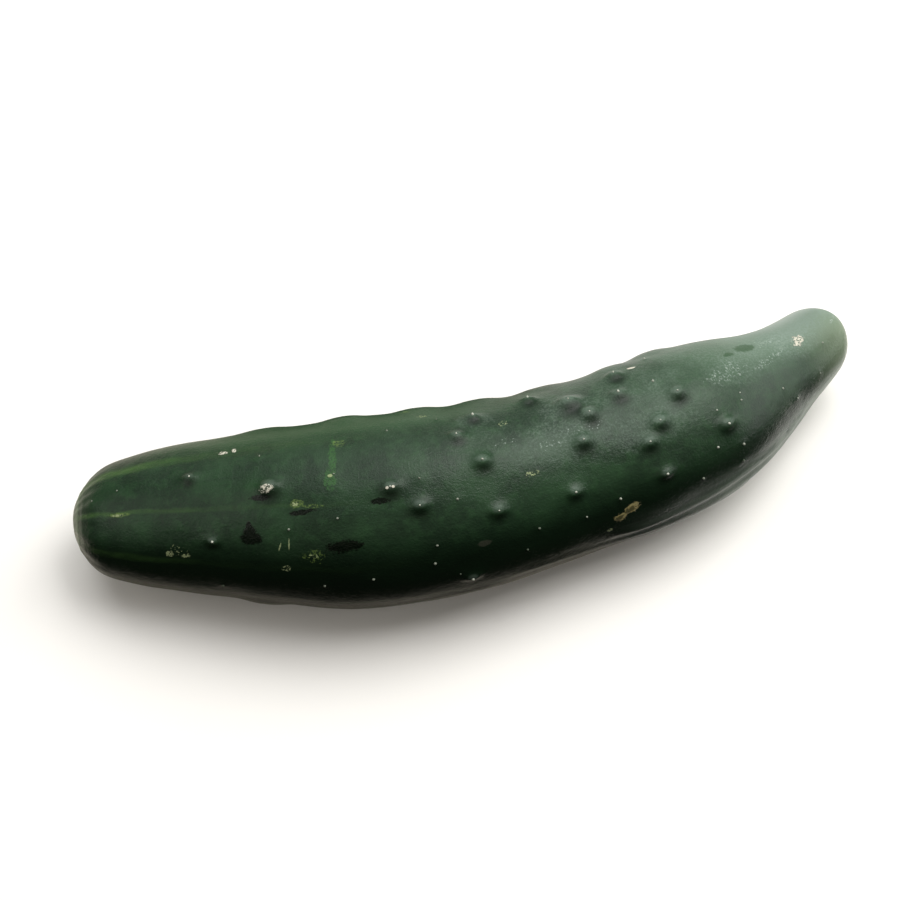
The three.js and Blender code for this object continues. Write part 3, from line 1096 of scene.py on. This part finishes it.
from_patch = do(tree, "MULTIPLY_ADD", patch_y, patch_y, times(patch_x, patch_x))
beside_patch = step(tree, from_patch, 0.5, 1.2)
to_the_right = step(tree, spot[0], 0.02, 0.06)
given_back = mix(tree, to_the_right, GIVEN_BACK_LEFT, GIVEN_BACK_RIGHT)
given_back = mix(tree, times(past_edge, beside_patch), GIVEN_BACK_LEAST, given_back)
plug(tree, shader.inputs["Base Color"], mix(tree, seen, given_back, TABLE_WHITE))
table.data.materials.append(white)
print("the table is", TABLE_SIZE, "m wide")

# %% [markdown]
# ## The camera
# It stands on the fruit's near side, a little to the left and high up, so that the top and the
# near side both show. A long lens from close by keeps the two ends nearly the same scale.

# %% The camera
LOOK_AT = Vector((-0.0099, 0.0100, 0.026))
CAMERA_AZIMUTH = -16.4
CAMERA_ELEVATION = 60
CAMERA_DISTANCE = 0.4572


def direction(azimuth, elevation):
    """A unit vector. Azimuth 0 is in front of the fruit, 90 at its stem end, 180 behind it."""
    a, e = math.radians(azimuth), math.radians(elevation)
    return Vector((math.sin(a) * math.cos(e), -math.cos(a) * math.cos(e), math.sin(e)))


back = direction(CAMERA_AZIMUTH, CAMERA_ELEVATION)
bpy.ops.object.camera_add(location=LOOK_AT + back * CAMERA_DISTANCE)
camera = bpy.context.object
camera.rotation_euler = (-back).to_track_quat("-Z", "Y").to_euler()
camera.data.lens = 60
camera.data.sensor_width = 36
camera.data.clip_start = 0.01
bpy.context.scene.camera = camera
print("the camera is at, m:", [round(value, 3) for value in camera.location])

# %% [markdown]
# ## The lights
# Soft daylight in a bright room, as six large boxes of light a metre away. The strongest is a
# window high on the right. A skylight and two weaker windows, behind and on the left, leave the
# near side in shade, and a weak wide one in front keeps the shade on the table open. A low one on
# the right brings out the creases of the flank.

# %% The lights
def softbox(name, azimuth, elevation, width, height, watts, colour=(1, 1, 1)):
    """A soft light a metre from the fruit that faces it."""
    way = direction(azimuth, elevation)
    bpy.ops.object.light_add(type="AREA", location=way)
    lamp = bpy.context.object
    lamp.name = name
    lamp.rotation_euler = (-way).to_track_quat("-Z", "Y").to_euler()
    lamp.data.shape = "RECTANGLE"
    lamp.data.size = width
    lamp.data.size_y = height
    lamp.data.energy = watts
    lamp.data.color = colour


softbox("window_right", 102, 58, 0.7, 0.7, 8.4, (1, 0.99, 0.97))
softbox("skylight", 180, 72, 0.9, 0.9, 5.2)
softbox("window_back", 180, 34, 0.9, 0.6, 1.7)
softbox("window_left", 268, 34, 0.7, 0.6, 2.2, (1, 0.97, 0.92))
softbox("low_right", 86, 11, 0.9, 0.4, 4)
softbox("room_front", 0, 46, 2.2, 0.68, 1.6, (1, 0.92, 0.8))

# %% [markdown]
# ## The room
# The rest of the room gives hardly any light, which keeps the shade deep. A view from low down
# looks past the table, so there the camera sees a plain pale wall.

# %% The room
WALL = (0.8, 0.79, 0.77)
room = bpy.data.worlds.new("room")
room.use_nodes = True
tree = room.node_tree
dim = tree.nodes["Background"]
dim.inputs["Color"].default_value = (1, 0.95, 0.87, 1)
dim.inputs["Strength"].default_value = 0.02
wall = add(tree, "Background", {"Color": WALL, "Strength": 1.0}).outputs[0]
seen = add(tree, "LightPath").outputs["Is Camera Ray"]
either = add(tree, "MixShader", {0: seen, 1: dim.outputs[0], 2: wall}).outputs[0]
plug(tree, tree.nodes["World Output"].inputs["Surface"], either)
bpy.context.scene.world = room
bpy.context.scene.view_settings.view_transform = "Standard"
print("the wall behind is", WALL)
